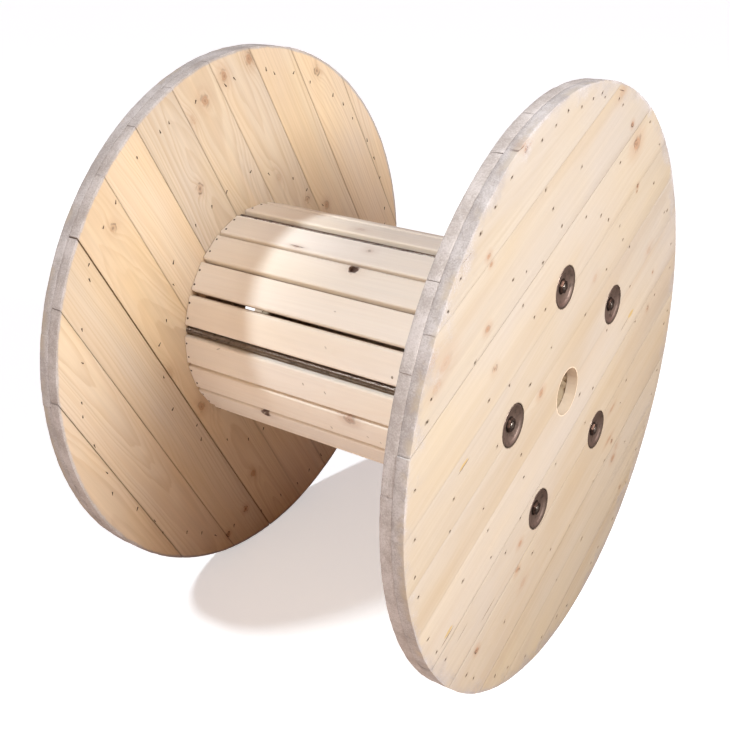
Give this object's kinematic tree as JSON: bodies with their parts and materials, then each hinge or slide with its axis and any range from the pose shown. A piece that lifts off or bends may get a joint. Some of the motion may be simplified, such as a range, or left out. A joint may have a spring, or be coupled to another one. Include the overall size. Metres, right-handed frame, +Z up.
{
  "type": "wooden cable drum",
  "caption": "Empty wooden drum for cable: two round plank flanges on a hollow barrel of slats, held together by steel tie rods with nuts in sunk dished washers.",
  "frame": {"origin": "on the floor under the middle of the drum, where the rims of both flanges rest", "axes": "+X along the drum's axis from the left flange to the right one, +Z up"},
  "size_m": [0.686, 0.9994, 0.9995],
  "materials": {
    "flange_wood": "rough sawn pine planks with knots, nails and dusty grey rims",
    "slat_wood": "planed pale pine",
    "support_wood": "rough sawn pine, hidden inside the barrel",
    "rod_steel": "dull threaded steel",
    "washer_steel": "dull brown-grey pressed steel",
    "nut_steel": "dull zinc-plated steel"
  },
  "bodies": {
    "root": {"left_flange_inner_layer": "flange_wood", "left_flange_outer_layer": "flange_wood", "left_dished_washer_1": "washer_steel", "left_nut_1": "nut_steel", "left_dished_washer_2": "washer_steel", "left_nut_2": "nut_steel", "left_dished_washer_3": "washer_steel", "left_nut_3": "nut_steel", "left_dished_washer_4": "washer_steel", "left_nut_4": "nut_steel", "left_dished_washer_5": "washer_steel", "left_nut_5": "nut_steel", "left_support_ring": "support_wood", "right_flange_inner_layer": "flange_wood", "right_flange_outer_layer": "flange_wood", "right_dished_washer_1": "washer_steel", "right_nut_1": "nut_steel", "right_dished_washer_2": "washer_steel", "right_nut_2": "nut_steel", "right_dished_washer_3": "washer_steel", "right_nut_3": "nut_steel", "right_dished_washer_4": "washer_steel", "right_nut_4": "nut_steel", "right_dished_washer_5": "washer_steel", "right_nut_5": "nut_steel", "right_support_ring": "support_wood", "barrel_slat_01": "slat_wood", "barrel_slat_02": "slat_wood", "barrel_slat_03": "slat_wood", "barrel_slat_04": "slat_wood", "barrel_slat_05": "slat_wood", "barrel_slat_06": "slat_wood", "barrel_slat_07": "slat_wood", "barrel_slat_08": "slat_wood", "barrel_slat_09": "slat_wood", "barrel_slat_10": "slat_wood", "barrel_slat_11": "slat_wood", "barrel_slat_12": "slat_wood", "barrel_slat_13": "slat_wood", "barrel_slat_14": "slat_wood", "barrel_slat_15": "slat_wood", "barrel_slat_16": "slat_wood", "barrel_slat_17": "slat_wood", "barrel_slat_18": "slat_wood", "barrel_slat_19": "slat_wood", "barrel_slat_20": "slat_wood", "tie_rod_1": "rod_steel", "tie_rod_2": "rod_steel", "tie_rod_3": "rod_steel", "tie_rod_4": "rod_steel", "tie_rod_5": "rod_steel"}
  },
  "joints": []
}
